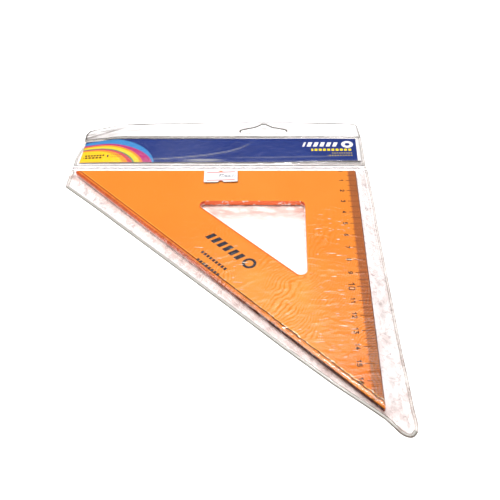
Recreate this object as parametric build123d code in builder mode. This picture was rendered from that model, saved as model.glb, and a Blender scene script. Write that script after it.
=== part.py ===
"""A 45 degree drafting set square in its clear vinyl hanging sleeve.

Millimetres, +Z up. The origin is under the set square's right-angle corner, on the surface that
the sleeve lies on. +X points out across the square's scale edge, and +Y towards the header.
Three rigid groups move apart: the sleeve, the set square that slides out of it along +Y, and the
header, which folds back about the line where the pocket's mouth is.
"""
import os
from math import atan2, degrees, sqrt

from build123d import *

# --- driving dimensions -------------------------------------------------------------------------

# set square
LEG = 175.0                # both short sides, so the long side is 247.5, sold as 25 cm
PLATE_THICKNESS = 3.0
TIP_RADIUS = 0.5           # on the two 45 degree tips
TOP_BORDER = 30.0          # from the top side to the cut-out
SCALE_BORDER = 32.0        # from the scale side to the cut-out
LONG_BORDER = 32.8         # from the long side to the cut-out
CUT_OUT_RADIUS = 3.5
INK_STEP_WIDTH = 1.8       # sloping step along the long side, which keeps ink off the paper
INK_STEP_DEPTH = 0.8
SCALE_BEVEL = 0.7

# scale
SCALE_CENTIMETRES = 17
TICK_WIDTH = 0.3
TICK_START = 0.75          # inside the bevel
MM_TICK_END = 4.6
HALF_CM_TICK_END = 5.3
CM_TICK_END = 6.9
LAST_NUMERAL = 16
NUMERAL_CENTRE = 9.65      # from the scale side
NUMERAL_HEIGHT = 2.6
TEN_HEIGHT = 3.5           # the 10 is larger than the others
PEN_WIDTH = 0.55
DIGIT_WIDTH = 0.7          # as shares of a digit's height
DIGIT_PITCH = 1.05
# pen lines of plain digits, in a box from (0, 0) to (1, 1)
DIGIT_LINES = {
    "0": [[(0.2, 0), (0.8, 0), (1, 0.2), (1, 0.8), (0.8, 1), (0.2, 1), (0, 0.8), (0, 0.2), (0.2, 0)]],
    "1": [[(0.1, 0.75), (0.6, 1), (0.6, 0)]],
    "2": [[(0, 0.8), (0.2, 1), (0.8, 1), (1, 0.8), (1, 0.6), (0, 0), (1, 0)]],
    "3": [[(0, 1), (1, 1), (0.4, 0.6), (1, 0.4), (1, 0.2), (0.8, 0), (0, 0)]],
    "4": [[(0.7, 0), (0.7, 1), (0, 0.3), (1, 0.3)]],
    "5": [[(1, 1), (0.1, 1), (0, 0.55), (0.8, 0.6), (1, 0.4), (1, 0.2), (0.8, 0), (0, 0)]],
    "6": [[(0.9, 1), (0.3, 0.85), (0, 0.4), (0, 0.2), (0.2, 0), (0.8, 0), (1, 0.2), (1, 0.4),
           (0.8, 0.6), (0.1, 0.55)]],
    "7": [[(0, 1), (1, 1), (0.35, 0)]],
    "8": [[(0.2, 0), (0.8, 0), (1, 0.25), (0, 0.75), (0.2, 1), (0.8, 1), (1, 0.75), (0, 0.25),
           (0.2, 0)]],
    "9": [[(0.1, 0), (0.7, 0.15), (1, 0.6), (1, 0.8), (0.8, 1), (0.2, 1), (0, 0.8), (0, 0.6),
           (0.2, 0.4), (0.9, 0.45)]],
}

# printed marks, all plain shapes with no lettering
MARK_CENTRE = (-76.5, -70.0)
MARK_BARS = 6
MARK_BAR_PITCH = 4.7
MARK_BAR_WIDTH = 2.9
MARK_BAR_HEIGHT = 5.6
MARK_SLANT = 1.2           # how far the top of a bar leans forwards
RING_CENTRE = (-63.0, -83.3)
RING_RADIUS = 3.9
RING_HOLE_RADIUS = 2.3
ROW_CENTRES = ((-82.2, -81.1), (-85.0, -86.2))
ROW_DASHES = (9, 8)
ROW_DASH_PITCH = 2.3
ROW_DASH = (1.6, 1.9)
PRINT = 0.03               # thickness of every printed layer

# heights in the sleeve
FILM = 0.15
PLATE_LIFT = 0.8           # lets the plate pass over the header
PLATE_TOP = PLATE_LIFT + PLATE_THICKNESS
POCKET_TOP = 4.95          # the loose front film stands about a millimetre off the plate

# sleeve pocket: corners run anticlockwise from the top left, and the right side leans 2 degrees
FOLD_Y = 9.0               # the header folds here, just above the set square
FOLD_GAP = 0.3
POCKET_TOP_Y = FOLD_Y - FOLD_GAP
MOUTH_Y = 5.0              # the front film ends here, and the back film runs on to the fold
POCKET_LEFT = -179.0
POCKET_CORNER = (POCKET_LEFT, -11.9)
POCKET_TIP = (13.4, -189.6)
POCKET_RIGHT_TOP = (6.9, POCKET_TOP_Y)
SIDE_WELD = 2.0
LONG_WELD = 0.7
POCKET_TIP_RADIUS = 3.0
POCKET_CORNER_RADIUS = 2.0
TIP_WELD_SHARE = 0.215     # the right weld widens over this share of its length
TIP_WELD_INNER_X = 7.2     # to a wide fused corner at the tip
FILM_FOOT = 0.2            # where the front film meets its weld
COVER_MARGIN = 0.6         # from the plate's sides to the flat top of the front film
COVER_LEFT_MARGIN = 0.9
COVER_WALL = 0.15

# header
HEADER_LEFT, HEADER_RIGHT = -179.0, 7.0
HEADER_BOTTOM = FOLD_Y + FOLD_GAP
HEADER_TOP = 40.6
CARD_LEFT, CARD_RIGHT = -175.6, 4.6
CARD_BOTTOM, CARD_TOP = 12.6, 35.8
CARD_THICKNESS = 0.25
CARD_PLAY = 0.02
STRIP_LEFT, STRIP_RIGHT = -177.8, 5.2
STRIP_TOP = 54.8
STRIP_CORNER_RADIUS = 4.0
SLOT_X = -57.8             # the hanging slot is shaped like a coat hanger
SLOT_BOTTOM = 43.0
SLOT_HALF_WIDTH = 14.8
SLOT_END_HEIGHT = 2.6
SLOT_SHOULDER = (5.5, 6.0)
SLOT_PEAK = 9.8
SLOT_RADIUS = 1.2

# price label
LABEL_CENTRE = (-82.9, -7.3)
LABEL_SIZE = (20.6, 13.2)
LABEL_TURN = 2.5
LABEL_THICKNESS = 0.08
LABEL_NOTCH_RADIUS = 0.9
LABEL_LINE_INSET = 2.0
LABEL_LINE_WIDTH = 0.5

os.makedirs("parts", exist_ok=True)


# --- helpers ------------------------------------------------------------------------------------

def inset(outline, widths):
    """Move each side of an anticlockwise outline inwards by its own width."""
    sides = []
    for start, end, width in zip(outline, outline[1:] + outline[:1], widths):
        along = (Vector(*end) - Vector(*start)).normalized()
        sides.append((Vector(*start) + Vector(-along.Y, along.X) * width, along))
    corners = []
    for (a, u), (b, v) in zip(sides[-1:] + sides[:-1], sides):
        turn = u.cross(v).Z
        step = (b - a).cross(v).Z / turn if abs(turn) > 1e-6 else (b - a).dot(u)
        corners.append(((a + u * step).X, (a + u * step).Y))
    return corners


def film_mound(base, top, base_height, top_height, mode=Mode.ADD):
    """The space under a film that rises from one outline to another."""
    with BuildSketch(Plane.XY.offset(base_height)) as base_face:
        Polygon(*base, align=None)
    with BuildSketch(Plane.XY.offset(top_height)) as top_face:
        Polygon(*top, align=None)
    loft([base_face.sketch, top_face.sketch], ruled=True, mode=mode)


def on_plate(centre):
    """A plane on the plate's top whose X direction runs down along the long side."""
    return Plane(origin=(*centre, PLATE_TOP), x_dir=(1, -1, 0), z_dir=(0, 0, 1))


def cut_top_edge(middle, inwards, width, depth):
    """Slope off one straight edge of the plate's top, over its whole length."""
    across = Vector(*inwards)
    section = Plane(
        origin=(*middle, PLATE_TOP), x_dir=across, z_dir=across.cross(Vector(0, 0, 1)),
    )
    with BuildSketch(section) as wedge:
        Polygon((0, 0), (width, 0), (0, -depth), align=None)
    extrude(wedge.sketch, amount=LEG, both=True, mode=Mode.SUBTRACT)


def save(piece, label):
    """Name a finished piece and write it."""
    piece.part.label = label
    export_step(piece.part, f"parts/{label}.step")


# --- set square ---------------------------------------------------------------------------------

cut_out_reach = LEG - LONG_BORDER * sqrt(2)
with BuildPart() as square_plate:
    with BuildSketch(Plane.XY.offset(PLATE_LIFT)):
        Polygon((0, 0), (-LEG, 0), (0, -LEG), align=None)
        fillet(vertices().sort_by(Axis.X)[0], TIP_RADIUS)
        fillet(vertices().sort_by(Axis.Y)[0], TIP_RADIUS)
    extrude(amount=PLATE_THICKNESS)
    cut_top_edge((-LEG / 2, -LEG / 2), (1, 1), INK_STEP_WIDTH, INK_STEP_DEPTH)
    cut_top_edge((0, -LEG / 2), (-1, 0), SCALE_BEVEL, SCALE_BEVEL)
    with BuildSketch(Plane.XY.offset(PLATE_LIFT)):
        Polygon(
            (-SCALE_BORDER, -TOP_BORDER),
            (TOP_BORDER - cut_out_reach, -TOP_BORDER),
            (-SCALE_BORDER, SCALE_BORDER - cut_out_reach),
            align=None,
        )
        fillet(vertices(), CUT_OUT_RADIUS)
    extrude(amount=PLATE_THICKNESS, mode=Mode.SUBTRACT)
save(square_plate, "square_plate")


def tick_row(millimetres, end):
    """Printed ticks from the bevel inwards, one at each of the given distances down the scale."""
    with BuildSketch(Plane.XY.offset(PLATE_TOP)) as ticks:
        with Locations(*[(-TICK_START, -mm) for mm in millimetres]):
            Rectangle(end - TICK_START, TICK_WIDTH, align=(Align.MAX, Align.CENTER))
    extrude(ticks.sketch, amount=PRINT)


scale_length = 10 * SCALE_CENTIMETRES
with BuildPart() as scale_ticks_mm:
    tick_row([mm for mm in range(1, scale_length) if mm % 5], MM_TICK_END)
save(scale_ticks_mm, "scale_ticks_mm")

with BuildPart() as scale_ticks_half_cm:
    tick_row(range(5, scale_length, 10), HALF_CM_TICK_END)
save(scale_ticks_half_cm, "scale_ticks_half_cm")

with BuildPart() as scale_ticks_cm:
    tick_row(range(10, scale_length + 1, 10), CM_TICK_END)
save(scale_ticks_cm, "scale_ticks_cm")


def pen_strokes(number, height):
    """The strokes of a number centred on the origin, each as its two ends."""
    pitch = DIGIT_PITCH * height
    for place, digit in enumerate(str(number)):
        left = (place - (len(str(number)) - 1) / 2) * pitch - DIGIT_WIDTH * height / 2
        for line in DIGIT_LINES[digit]:
            points = [Vector(left + x * DIGIT_WIDTH * height, (y - 0.5) * height) for x, y in line]
            yield from zip(points, points[1:])


with BuildPart() as scale_numerals:
    for number in range(LAST_NUMERAL + 1):
        height = TEN_HEIGHT if number == 10 else NUMERAL_HEIGHT
        # digits read down the scale, with their tops towards the scale edge
        centre = (-NUMERAL_CENTRE, -10 * number, PLATE_TOP)
        with BuildSketch(Plane(origin=centre, x_dir=(0, -1, 0), z_dir=(0, 0, 1))):
            for start, end in pen_strokes(number, height - PEN_WIDTH):
                stroke = end - start
                turn = degrees(atan2(stroke.Y, stroke.X))
                with Locations((start + end) / 2):
                    SlotCenterToCenter(stroke.length, PEN_WIDTH, rotation=turn)
            if number == 0:
                # the 0 stands on the top side of the plate, so only one half of it is printed
                Rectangle(height, 2 * height, align=(Align.MAX, Align.CENTER), mode=Mode.SUBTRACT)
        extrude(amount=PRINT)
save(scale_numerals, "scale_numerals")

with BuildPart() as plate_mark_bars:
    with BuildSketch(on_plate(MARK_CENTRE)):
        for bar in range(MARK_BARS):
            left = (bar - MARK_BARS / 2) * MARK_BAR_PITCH
            right = left + MARK_BAR_WIDTH
            Polygon(
                (left, -MARK_BAR_HEIGHT / 2),
                (right, -MARK_BAR_HEIGHT / 2),
                (right + MARK_SLANT, MARK_BAR_HEIGHT / 2),
                (left + MARK_SLANT, MARK_BAR_HEIGHT / 2),
                align=None,
            )
    extrude(amount=PRINT)
save(plate_mark_bars, "plate_mark_bars")

with BuildPart() as plate_mark_ring:
    with BuildSketch(on_plate(RING_CENTRE)):
        Circle(RING_RADIUS)
        Circle(RING_HOLE_RADIUS, mode=Mode.SUBTRACT)
    extrude(amount=PRINT)
save(plate_mark_ring, "plate_mark_ring")

with BuildPart() as plate_mark_rows:
    for centre, dashes in zip(ROW_CENTRES, ROW_DASHES):
        with BuildSketch(on_plate(centre)):
            with GridLocations(ROW_DASH_PITCH, 0, dashes, 1):
                Rectangle(*ROW_DASH)
        extrude(amount=PRINT)
save(plate_mark_rows, "plate_mark_rows")

# --- sleeve pocket ------------------------------------------------------------------------------

tip, right_top = Vector(*POCKET_TIP), Vector(*POCKET_RIGHT_TOP)
widening = tip + (right_top - tip) * TIP_WELD_SHARE
pocket_outline = [
    (POCKET_LEFT, POCKET_TOP_Y), POCKET_CORNER, POCKET_TIP, (widening.X, widening.Y),
    POCKET_RIGHT_TOP,
]
pocket_inside = inset(pocket_outline, (SIDE_WELD, LONG_WELD, SIDE_WELD, SIDE_WELD, 0))
# the inner tip slides back along the long side, which leaves a wide fused corner beyond it
inner_corner, inner_tip = Vector(*pocket_inside[1]), Vector(*pocket_inside[2])
slope = (inner_tip - inner_corner) / (inner_tip - inner_corner).X
inner_tip += slope * (TIP_WELD_INNER_X - inner_tip.X)
pocket_inside[2] = (inner_tip.X, inner_tip.Y)
cover_left = -(LEG + COVER_LEFT_MARGIN)
cover_diagonal = -(LEG + COVER_MARGIN * sqrt(2))
cover_top = [
    (cover_left, POCKET_TOP_Y),
    (cover_left, cover_diagonal - cover_left),
    (COVER_MARGIN, cover_diagonal - COVER_MARGIN),
    (COVER_MARGIN, widening.Y),
    (COVER_MARGIN, POCKET_TOP_Y),
]
open_mouth = -1.0          # how far the hollow runs out past the mouth

with BuildPart() as sleeve_back_film:
    with BuildSketch():
        Polygon(*pocket_inside, align=None)
    extrude(amount=FILM)
save(sleeve_back_film, "sleeve_back_film")

with BuildPart() as sleeve_front_film:
    with BuildSketch(Plane.XY.offset(FILM)):
        Polygon(*pocket_inside, align=None)
    extrude(amount=FILM)
    film_mound(pocket_inside, cover_top, 2 * FILM, POCKET_TOP)
    # hollow it out, and open the mouth by letting the hollow run past it
    film_mound(
        inset(pocket_inside, (FILM_FOOT,) * 4 + (open_mouth,)),
        inset(cover_top, (COVER_WALL,) * 4 + (open_mouth,)),
        FILM, POCKET_TOP - FILM, mode=Mode.SUBTRACT,
    )
    split(bisect_by=Plane(origin=(0, MOUTH_Y, 0), z_dir=(0, -1, 0)), keep=Keep.TOP)
save(sleeve_front_film, "sleeve_front_film")


def weld_strip(first, last):
    """The fused double film from one corner of the pocket to another, mitred to its neighbours."""
    with BuildSketch() as strip:
        Polygon(
            POCKET_CORNER, POCKET_TIP, POCKET_RIGHT_TOP, (POCKET_LEFT, POCKET_TOP_Y), align=None,
        )
        fillet(vertices().sort_by(Axis.Y)[0], POCKET_TIP_RADIUS)
        fillet(vertices().sort_by_distance(POCKET_CORNER)[0], POCKET_CORNER_RADIUS)
        Polygon(
            *pocket_outline[first:last + 1], *reversed(pocket_inside[first:last + 1]),
            align=None, mode=Mode.INTERSECT,
        )
    extrude(strip.sketch, amount=2 * FILM)


with BuildPart() as left_side_weld:
    weld_strip(0, 1)
save(left_side_weld, "left_side_weld")

with BuildPart() as long_side_weld:
    weld_strip(1, 2)
save(long_side_weld, "long_side_weld")

with BuildPart() as right_side_weld:
    weld_strip(2, 4)
save(right_side_weld, "right_side_weld")

# --- header -------------------------------------------------------------------------------------

header_outline = [
    (HEADER_LEFT, HEADER_TOP), (HEADER_LEFT, HEADER_BOTTOM),
    (HEADER_RIGHT, HEADER_BOTTOM), (HEADER_RIGHT, HEADER_TOP),
]
header_inside = inset(header_outline, (SIDE_WELD,) * 4)
card_outline = [
    (CARD_LEFT, CARD_TOP), (CARD_LEFT, CARD_BOTTOM),
    (CARD_RIGHT, CARD_BOTTOM), (CARD_RIGHT, CARD_TOP),
]
card_height = FILM + CARD_PLAY
header_film_top = card_height + CARD_THICKNESS + CARD_PLAY + FILM

with BuildPart() as header_card:
    with BuildSketch(Plane.XY.offset(card_height)):
        Polygon(*card_outline, align=None)
    extrude(amount=CARD_THICKNESS)
save(header_card, "header_card")

with BuildPart() as header_back_film:
    with BuildSketch():
        Polygon(*header_inside, align=None)
    extrude(amount=FILM)
save(header_back_film, "header_back_film")

with BuildPart() as header_front_film:
    with BuildSketch(Plane.XY.offset(FILM)):
        Polygon(*header_inside, align=None)
    extrude(amount=FILM)
    film_mound(header_inside, inset(card_outline, (-FILM,) * 4), 2 * FILM, header_film_top)
    film_mound(
        inset(header_inside, (FILM_FOOT,) * 4), inset(card_outline, (-CARD_PLAY,) * 4),
        FILM, header_film_top - FILM, mode=Mode.SUBTRACT,
    )
save(header_front_film, "header_front_film")


def header_weld(side):
    """The fused double film along one side of the header, mitred to its neighbours."""
    following = (side + 1) % len(header_outline)
    with BuildSketch() as strip:
        Polygon(
            header_outline[side], header_outline[following],
            header_inside[following], header_inside[side],
            align=None,
        )
    extrude(strip.sketch, amount=2 * FILM)


with BuildPart() as header_left_weld:
    header_weld(0)
save(header_left_weld, "header_left_weld")

with BuildPart() as header_lower_weld:
    header_weld(1)
save(header_lower_weld, "header_lower_weld")

with BuildPart() as header_right_weld:
    header_weld(2)
save(header_right_weld, "header_right_weld")

with BuildPart() as header_upper_weld:
    header_weld(3)
save(header_upper_weld, "header_upper_weld")

shoulder_x, shoulder_y = SLOT_SHOULDER
slot_right_half = [
    (SLOT_HALF_WIDTH, 0), (SLOT_HALF_WIDTH, SLOT_END_HEIGHT), (shoulder_x, shoulder_y),
]
slot_outline = slot_right_half + [(0, SLOT_PEAK)] + [(-x, y) for x, y in reversed(slot_right_half)]
with BuildPart() as hang_strip:
    with BuildSketch():
        with Locations((STRIP_LEFT, HEADER_TOP)):
            Rectangle(STRIP_RIGHT - STRIP_LEFT, STRIP_TOP - HEADER_TOP, align=Align.MIN)
        fillet(vertices().group_by(Axis.Y)[-1], STRIP_CORNER_RADIUS)
    extrude(amount=2 * FILM)
    with BuildSketch(Plane(origin=(SLOT_X, SLOT_BOTTOM, 0))):
        Polygon(*slot_outline, align=None)
        fillet(vertices(), SLOT_RADIUS)
    extrude(amount=2 * FILM, mode=Mode.SUBTRACT)
save(hang_strip, "hang_strip")

# --- price label --------------------------------------------------------------------------------

label_face = Plane(origin=(*LABEL_CENTRE, POCKET_TOP)).rotated((0, 0, LABEL_TURN))
label_width, label_height = LABEL_SIZE
with BuildPart() as price_label:
    with BuildSketch(label_face):
        Rectangle(label_width, label_height)
        with GridLocations(0, label_height, 1, 2):
            Circle(LABEL_NOTCH_RADIUS, mode=Mode.SUBTRACT)
    extrude(amount=LABEL_THICKNESS)
save(price_label, "price_label")

with BuildPart() as price_label_lines:
    with BuildSketch(label_face.offset(LABEL_THICKNESS)):
        with GridLocations(0, label_height - 2 * LABEL_LINE_INSET, 1, 2):
            Rectangle(label_width, LABEL_LINE_WIDTH)
    extrude(amount=PRINT)
save(price_label_lines, "price_label_lines")
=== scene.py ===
"""Looks of a 45 degree set square in its clear vinyl hanging sleeve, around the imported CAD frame.

Shapes are worked out in millimetres, in the CAD's own axes, and become metres as each mesh is made.
"""
from math import cos, pi, radians, sin, sqrt

import bpy
import numpy as np
from mathutils import Matrix, Vector
from mathutils.geometry import delaunay_2d_cdt


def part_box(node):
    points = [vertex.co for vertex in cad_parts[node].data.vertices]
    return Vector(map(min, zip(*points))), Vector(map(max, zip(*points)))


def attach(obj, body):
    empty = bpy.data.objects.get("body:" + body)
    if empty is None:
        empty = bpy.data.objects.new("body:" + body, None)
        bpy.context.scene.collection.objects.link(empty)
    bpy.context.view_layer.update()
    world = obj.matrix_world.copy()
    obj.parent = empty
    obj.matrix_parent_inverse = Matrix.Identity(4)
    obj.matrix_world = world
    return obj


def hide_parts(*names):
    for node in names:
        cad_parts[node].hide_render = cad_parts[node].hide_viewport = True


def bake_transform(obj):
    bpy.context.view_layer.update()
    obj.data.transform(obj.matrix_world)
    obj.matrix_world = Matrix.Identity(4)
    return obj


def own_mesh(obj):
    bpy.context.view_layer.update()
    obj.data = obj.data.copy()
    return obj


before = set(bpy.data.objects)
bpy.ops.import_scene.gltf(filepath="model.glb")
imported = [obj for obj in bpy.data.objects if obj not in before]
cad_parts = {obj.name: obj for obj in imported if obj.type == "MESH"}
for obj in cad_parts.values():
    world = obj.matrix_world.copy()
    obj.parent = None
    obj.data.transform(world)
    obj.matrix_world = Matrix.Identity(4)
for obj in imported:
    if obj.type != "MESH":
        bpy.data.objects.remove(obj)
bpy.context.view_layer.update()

MM = 0.001


def corners(node):
    """A CAD node's lowest and highest corners, in millimetres."""
    return [np.array(corner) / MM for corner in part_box(node)]


# --- places taken from the frame ---

plate_low, plate_high = corners("square_plate")
LEG = -plate_low[0]
PLATE_TOP = plate_high[2]
SLEEVE_LEFT = corners("left_side_weld")[0][0]
FOLD_Y = corners("header_lower_weld")[0][1] - 0.3
MOUTH_Y = corners("sleeve_front_film")[1][1]
card_low, card_high = corners("header_card")
label_low, label_high = corners("price_label")
HEADER_LEFT = corners("header_left_weld")[0][0]
HEADER_RIGHT = corners("header_right_weld")[1][0]

# --- the films' own sizes ---

FILM = 0.12
AIR = 0.28                 # between the plate and the loose film over it
BACK_TOP = 0.14            # the back film's upper side
BACK_FILM = 0.1            # and its thickness
WELD_UNDERSIDE = 0.04      # the pocket's welds lie on the table
KNURL, KNURL_PITCH = 0.06, 1.3      # the cross pattern pressed into welds: its depth and pitch
WELDED_TOP = 0.42          # the front film's upper side where it meets the welds
SHOULDER = 0.4             # and how far beyond the plate it starts down to them
FILM_GRID = 0.9            # spacing of the wrinkled film's points
FLAT_GRID = 2.2            # spacing on the flatter films
# the pocket's outline: its long side, its rounded tip, and its right side outside and inside
LONG_EDGE = (
    (-178.4, -12.6), (-157.9, -31.2), (-124.7, -62.6), (-94.9, -90.8), (-68.2, -116.2),
    (-44.1, -139.5), (-22.2, -159.7), (-8.4, -171.2), (-0.6, -177.9),
)
TIP_CURVE = (
    (2.6, -181.7), (5.2, -184.9), (8.0, -186.8), (10.8, -186.8), (12.9, -184.4), (13.5, -180.0),
)
RIGHT_EDGE = (
    (12.9, -170.9), (12.3, -153.8), (11.6, -139.0), (10.8, -111.4), (9.9, -80.0), (9.1, -51.5),
    (8.8, -24.3), (7.6, FOLD_Y),
)
RIGHT_INNER = (
    (5.0, FOLD_Y), (6.0, -24.3), (6.7, -51.5), (7.6, -80.0), (8.9, -106.2), (9.8, -131.2),
    (10.5, -142.0), (8.8, -155.3), (7.0, -163.0), (7.4, -172.0), (9.0, -178.5), (9.4, -182.6),
)
# the borders of the plate's cut-out: along the top, along the scale and along the long side
TOP_BORDER, SCALE_BORDER, LONG_BORDER = 30.0, 32.0, 32.8
# the header's left edge bulges a little, and its upper seam runs close over the card
SEAM_TOP = 38.5
HEADER_SIDE = (
    (-177.0, SEAM_TOP), (-176.9, 31.6), (-177.6, 27.5), (-178.4, 23.3), (-179.0, 18.0),
    (-178.9, 13.5), (-178.6, FOLD_Y + 0.8),
)
STRIP_TOP_EDGE = (
    (-177.0, SEAM_TOP), (-177.4, 43.1), (-177.3, 46.3), (-175.8, 49.2), (-173.2, 50.7),
    (-162.2, 51.6), (-143.4, 53.3), (-110.0, 54.4), (-80.0, 54.8), (-40.0, 54.6), (-8.0, 54.0),
    (1.4, 53.5), (4.2, 51.6), (5.1, 45.4), (5.6, 41.0), (6.0, SEAM_TOP),
)
# the long curved crease across the header
STREAK = (
    (-139.5, 15.2), (-125.0, 15.6), (-110.0, 17.2), (-94.6, 19.3), (-80.8, 22.8), (-72.0, 26.4),
    (-66.0, 31.2), (-62.0, 34.0),
)
# how far each of the header's layers is above the bent header's underside
HEADER_BACK, HEADER_SEAM, HEADER_FRONT, HEADER_STRIP, HEADER_CARD = 0.14, 0.30, 0.32, 0.34, 0.44
# the coat-hanger shaped slot: the middle of its lower edge, and its right half from there
SLOT_MIDDLE = (-57.8, 42.0)
SLOT_HALF = ((14.2, 0.0), (14.8, 0.6), (14.8, 2.2), (14.2, 2.9), (5.5, 6.0), (3.4, 7.6), (1.0, 9.5))
# the price label: its turn in degrees, its width and height, and the radius of its two notches
LABEL_TURN, LABEL_WIDTH, LABEL_HEIGHT, LABEL_NOTCH = 2.5, 20.6, 12.0, 1.5
SEED = 7

# where the film over the plate has short painted glints: their turn, left, right and top
GLINT_AREAS = ((-6, -34, -5, -34), (28, -120, -62, -60), (-14, -75, -8, -104))
# and the ridges of its mesh: how many, their (left, low, right, high) region, their turn, the
# range of their length, and the range of their height
MESH_CREASES = (
    (46, (-30, -165, -4, -35), 172, (5, 12), (0.10, 0.2)),
    (60, (-120, -120, -20, -70), 32, (4, 10), (0.08, 0.18)),
    (50, (-60, -150, -6, -100), 20, (3, 9), (0.08, 0.2)),
)
CREASE_WIDTH = 0.55

# the camera: where it is, how far it is turned (down, round and over, in radians), and its lens
CAMERA_PLACE = (-47.203, -361.916, 269.227)
CAMERA_TURN = (0.7419, -0.0543, -0.0323)
CAMERA_LENS = 51.886

STEEP = 0.4                # a facet is a side wall where its normal points up by less than this
FILM_HAZE = 0.003          # the share of milk in smooth film
CONTOUR_PITCH = 1.5        # between the contours where film clings to the plate
RIPPLE_PITCH = 1.9         # between the ripples where film clings to the header's card
FLOOR_REACH, FLOOR_LEVEL = 3000, -0.02
TENT_FADE = (0.66, 0.93)   # from this to this height on the sky, as the sine of the elevation,
TENT_LIGHT = (0.10, 3.4)   # the light grows from the room's to the tent's
EXPOSED = 1.55             # the light is this much over white, as colours are seen in it


# --- fields and paths, as arrays ---

def ramp(value, start, end):
    """0 before start, 1 after end, and a smooth step between them."""
    t = np.clip((value - start) / (end - start), 0, 1)
    return t * t * (3 - 2 * t)


def ridge(away, width):
    """1 on a line, and falling to 0 a little more than width away from it."""
    return np.exp(-(away / width) ** 2)


def noise(x, y, size, seed):
    """Smooth noise from -1 to 1, with bumps about size across."""
    lattice = np.random.default_rng(seed).uniform(-1, 1, (64, 64))
    u, v = x / size + 31.7, y / size + 17.3
    i, j = np.floor(u).astype(int), np.floor(v).astype(int)
    s, t = u - i, v - j
    s, t = s * s * (3 - 2 * s), t * t * (3 - 2 * t)

    def at(column, row):
        return lattice[(i + column) % 64, (j + row) % 64]

    return (at(0, 0) * (1 - s) + at(1, 0) * s) * (1 - t) + (at(0, 1) * (1 - s) + at(1, 1) * s) * t


def spaced(points, step):
    """The points of a polyline again, an even step apart."""
    points = np.array(points, float)
    run = np.concatenate([[0], np.cumsum(np.hypot(*np.diff(points, axis=0).T))])
    count = max(2, int(round(run[-1] / step)) + 1)
    at = np.linspace(0, run[-1], count)
    return np.stack([np.interp(at, run, points[:, axis]) for axis in (0, 1)], -1)


def curved(points, step):
    """A smooth curve through points, as an evenly spaced polyline."""
    points = [np.array(p, float) for p in points]
    padded = [2 * points[0] - points[1], *points, 2 * points[-1] - points[-2]]
    path = [points[0]]
    for a, b, c, d in zip(padded, padded[1:], padded[2:], padded[3:]):
        for t in np.linspace(0, 1, 17)[1:]:
            path.append(0.5 * (2 * b + (c - a) * t + (2 * a - 5 * b + 4 * c - d) * t ** 2
                               + (3 * b - a - 3 * c + d) * t ** 3))
    return spaced(path, step)


def distance(x, y, path):
    """How far each point is from a polyline."""
    nearest = np.full(np.shape(x), np.inf)
    for (ax, ay), (bx, by) in zip(path, path[1:]):
        dx, dy = bx - ax, by - ay
        t = np.clip(((x - ax) * dx + (y - ay) * dy) / (dx * dx + dy * dy), 0, 1)
        nearest = np.minimum(nearest, np.hypot(x - ax - t * dx, y - ay - t * dy))
    return nearest


def inside(x, y, outline):
    """Whether each point is within a closed outline."""
    odd = np.zeros(np.shape(x), bool)
    for (ax, ay), (bx, by) in zip(outline, np.roll(outline, -1, axis=0)):
        if ay == by:
            continue
        crosses = (ay > y) != (by > y)
        odd ^= crosses & (x < ax + (y - ay) * (bx - ax) / (by - ay))
    return odd


# --- mesh building ---

def make_mesh(name, points, faces, crease=None, smooth=True):
    """A mesh object from points in millimetres. crease is a value per point, for its material."""
    mesh = bpy.data.meshes.new(name)
    mesh.from_pydata((np.asarray(points) * MM).tolist(), [], faces)
    mesh.update()
    if crease is not None:
        attribute = mesh.attributes.new("crease", "FLOAT", "POINT")
        attribute.data.foreach_set("value", np.asarray(crease, np.float32))
    if smooth:
        mesh.polygons.foreach_set("use_smooth", [True] * len(mesh.polygons))
    piece = bpy.data.objects.new(name, mesh)
    bpy.context.scene.collection.objects.link(piece)
    return piece


def enclosed(faces, count):
    """Faces, the same ones facing down on a second set of count points, and walls between rims."""
    edges = [edge for face in faces for edge in zip(face, face[1:] + face[:1])]
    known = set(edges)
    below = [[corner + count for corner in reversed(face)] for face in faces]
    walls = [[b, a, a + count, b + count] for a, b in edges if (b, a) not in known]
    return faces + below + walls


def closed_sheet(name, points, faces, thickness, crease):
    """A film of even thickness whose upper side has these points and faces."""
    under = points - [0, 0, thickness]
    piece = make_mesh(name, np.concatenate([points, under]), enclosed(faces, len(points)),
                      np.tile(crease, 2))
    for wall in list(piece.data.polygons)[2 * len(faces):]:
        wall.use_smooth = False
    return piece


def film(name, outline, height, grid, thickness=FILM, hole=None):
    """A film cut to an outline. height(x, y) gives its upper side and how creased it is there."""
    # points on a grid of triangles, a little out of line, with none close to the borders
    rng = np.random.default_rng(SEED)
    low, high = outline.min(0), outline.max(0)
    rows = np.arange(low[1], high[1], grid * sqrt(0.75))
    x, y = np.meshgrid(np.arange(low[0], high[0], grid), rows)
    x = x + np.where(np.arange(len(rows)) % 2, grid / 2, 0)[:, None]
    x, y = (x + rng.uniform(-0.1, 0.1, x.shape) * grid).ravel(), y.ravel()
    loops = [outline] if hole is None else [outline, hole]
    keep = inside(x, y, outline)
    if hole is not None:
        keep &= ~inside(x, y, hole)
    for loop in loops:
        keep &= distance(x, y, np.vstack([loop, loop[:1]])) > 0.45 * grid
    flat = np.vstack([*loops, np.stack([x[keep], y[keep]], -1)])
    borders, start = [], 0
    for loop in loops:
        count = len(loop)
        borders += [(start + i, start + (i + 1) % count) for i in range(count)]
        start += count
    found = delaunay_2d_cdt([Vector(p) for p in flat.tolist()], borders, [], 1, 1e-5)
    flat = np.array([tuple(p) for p in found[0]])
    faces = [list(face) for face in found[2]]
    if hole is not None:
        middle = flat[np.array(faces)].mean(1)
        through = inside(middle[:, 0], middle[:, 1], hole)
        faces = [face for face, gone in zip(faces, through) if not gone]
    z, crease = height(flat[:, 0], flat[:, 1])
    return closed_sheet(name, np.column_stack([flat, z]), faces, thickness, crease)


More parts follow.
